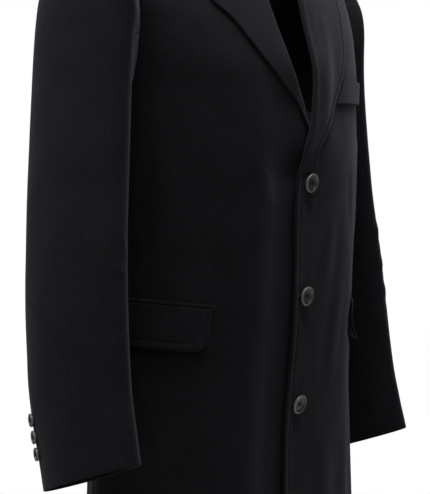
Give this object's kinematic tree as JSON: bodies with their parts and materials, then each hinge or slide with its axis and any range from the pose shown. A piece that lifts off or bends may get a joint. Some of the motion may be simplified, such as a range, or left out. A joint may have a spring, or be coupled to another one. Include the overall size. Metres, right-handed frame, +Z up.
{
  "type": "overcoat",
  "caption": "Knee-length single-breasted overcoat with notch lapels, flap hip pockets and a welt breast pocket, filled out as when worn.",
  "frame": {"origin": "middle of the neck opening, level with the tops of the shoulders, where the wearer's neck and shoulders hold the coat up", "axes": "+Z up along the wearer's spine, -Y to the wearer's front, +X to the wearer's left"},
  "size_m": [0.646, 0.2697, 1.0961],
  "materials": {
    "coating": "black napped wool twill, matt",
    "button_horn": "polished black horn look"
  },
  "bodies": {
    "root": {"front_left": "coating", "front_right": "coating", "back_left": "coating", "back_right": "coating", "sleeve_upper_left": "coating", "sleeve_upper_right": "coating", "sleeve_under_left": "coating", "sleeve_under_right": "coating", "lapel_left": "coating", "lapel_right": "coating", "collar": "coating", "flap_left": "coating", "flap_right": "coating", "jet_left": "coating", "jet_right": "coating", "breast_welt": "coating", "front_button_1": "button_horn", "front_button_2": "button_horn", "front_button_3": "button_horn", "cuff_button_left_1": "button_horn", "cuff_button_left_2": "button_horn", "cuff_button_left_3": "button_horn", "cuff_button_right_1": "button_horn", "cuff_button_right_2": "button_horn", "cuff_button_right_3": "button_horn"}
  },
  "joints": []
}
